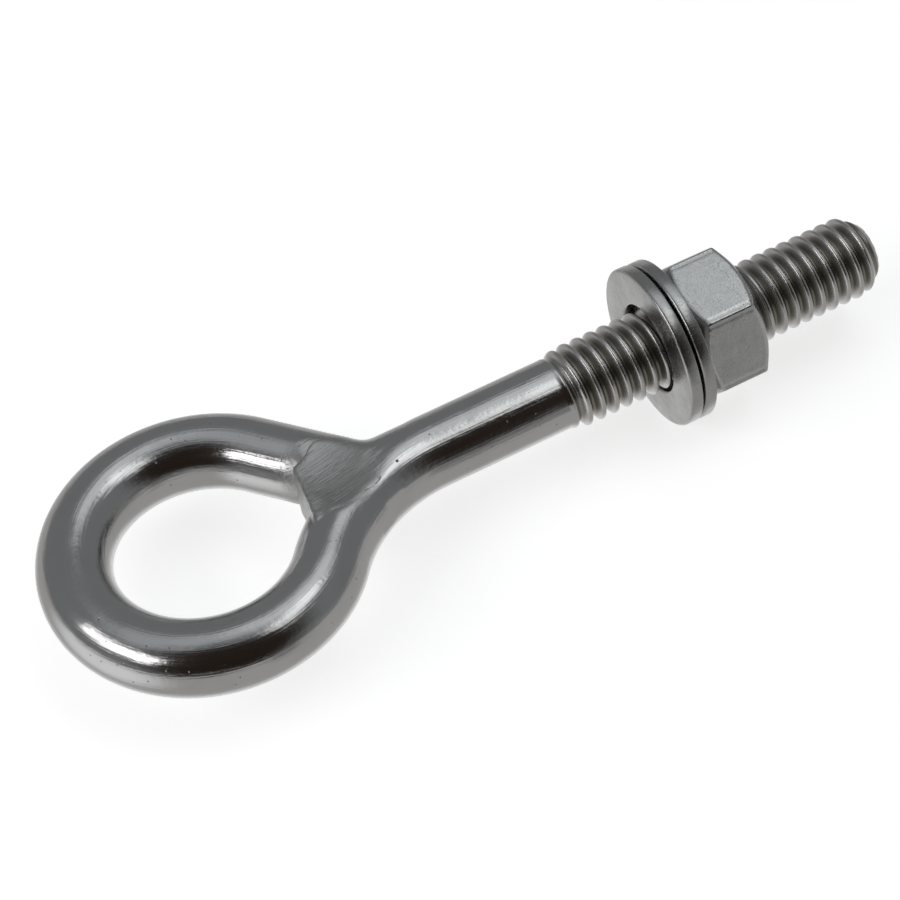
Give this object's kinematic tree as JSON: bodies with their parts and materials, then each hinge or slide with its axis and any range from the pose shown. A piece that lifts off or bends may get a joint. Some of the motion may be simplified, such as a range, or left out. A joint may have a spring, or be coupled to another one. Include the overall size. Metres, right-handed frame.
{
  "type": "eye bolt",
  "caption": "Bent steel rod with a closed round eye, a threaded shank, flat washers and a hex nut that screws along it.",
  "frame": {"origin": "centre of the eye, in the plane of the bent rod's centre line", "axes": "+X along the shank towards its threaded tip, +Z square to the plane of the eye; the part lies on its side"},
  "size_m": [0.0851, 0.0306, 0.0159],
  "materials": {
    "rod_steel": "bright polished stainless steel, fine drawing lines and small pits",
    "weld_steel": "weld ground flat, scratched satin",
    "washer_steel": "satin, scratched, with rounded punched edges",
    "nut_steel": "satin flats, brighter chamfers"
  },
  "bodies": {
    "rod": {"eye_rod": "rod_steel", "eye_weld": "weld_steel"},
    "inner_washer_ring": {"inner_washer": "washer_steel"},
    "outer_washer_ring": {"outer_washer": "washer_steel"},
    "nut": {"hex_nut": "nut_steel"}
  },
  "joints": [
    {"name": "nut_travel", "type": "slide", "parent": "rod", "child": "outer_washer_ring", "axis": [1, 0, 0], "range_m": [-0.0114, 0.0128]},
    {"name": "nut_turn", "type": "hinge", "parent": "outer_washer_ring", "child": "nut", "pos_m": [0.05, -0.00067, 0], "axis": [1, 0, 0], "range_deg": [-2880, 3240]},
    {"name": "washer_slide", "type": "slide", "parent": "outer_washer_ring", "child": "inner_washer_ring", "axis": [1, 0, 0], "range_m": [-0.0115, 0]}
  ],
  "couplings": [
    {"joint": "nut_travel", "follows": "nut_turn", "m_per_rad": 0.00022459}
  ]
}
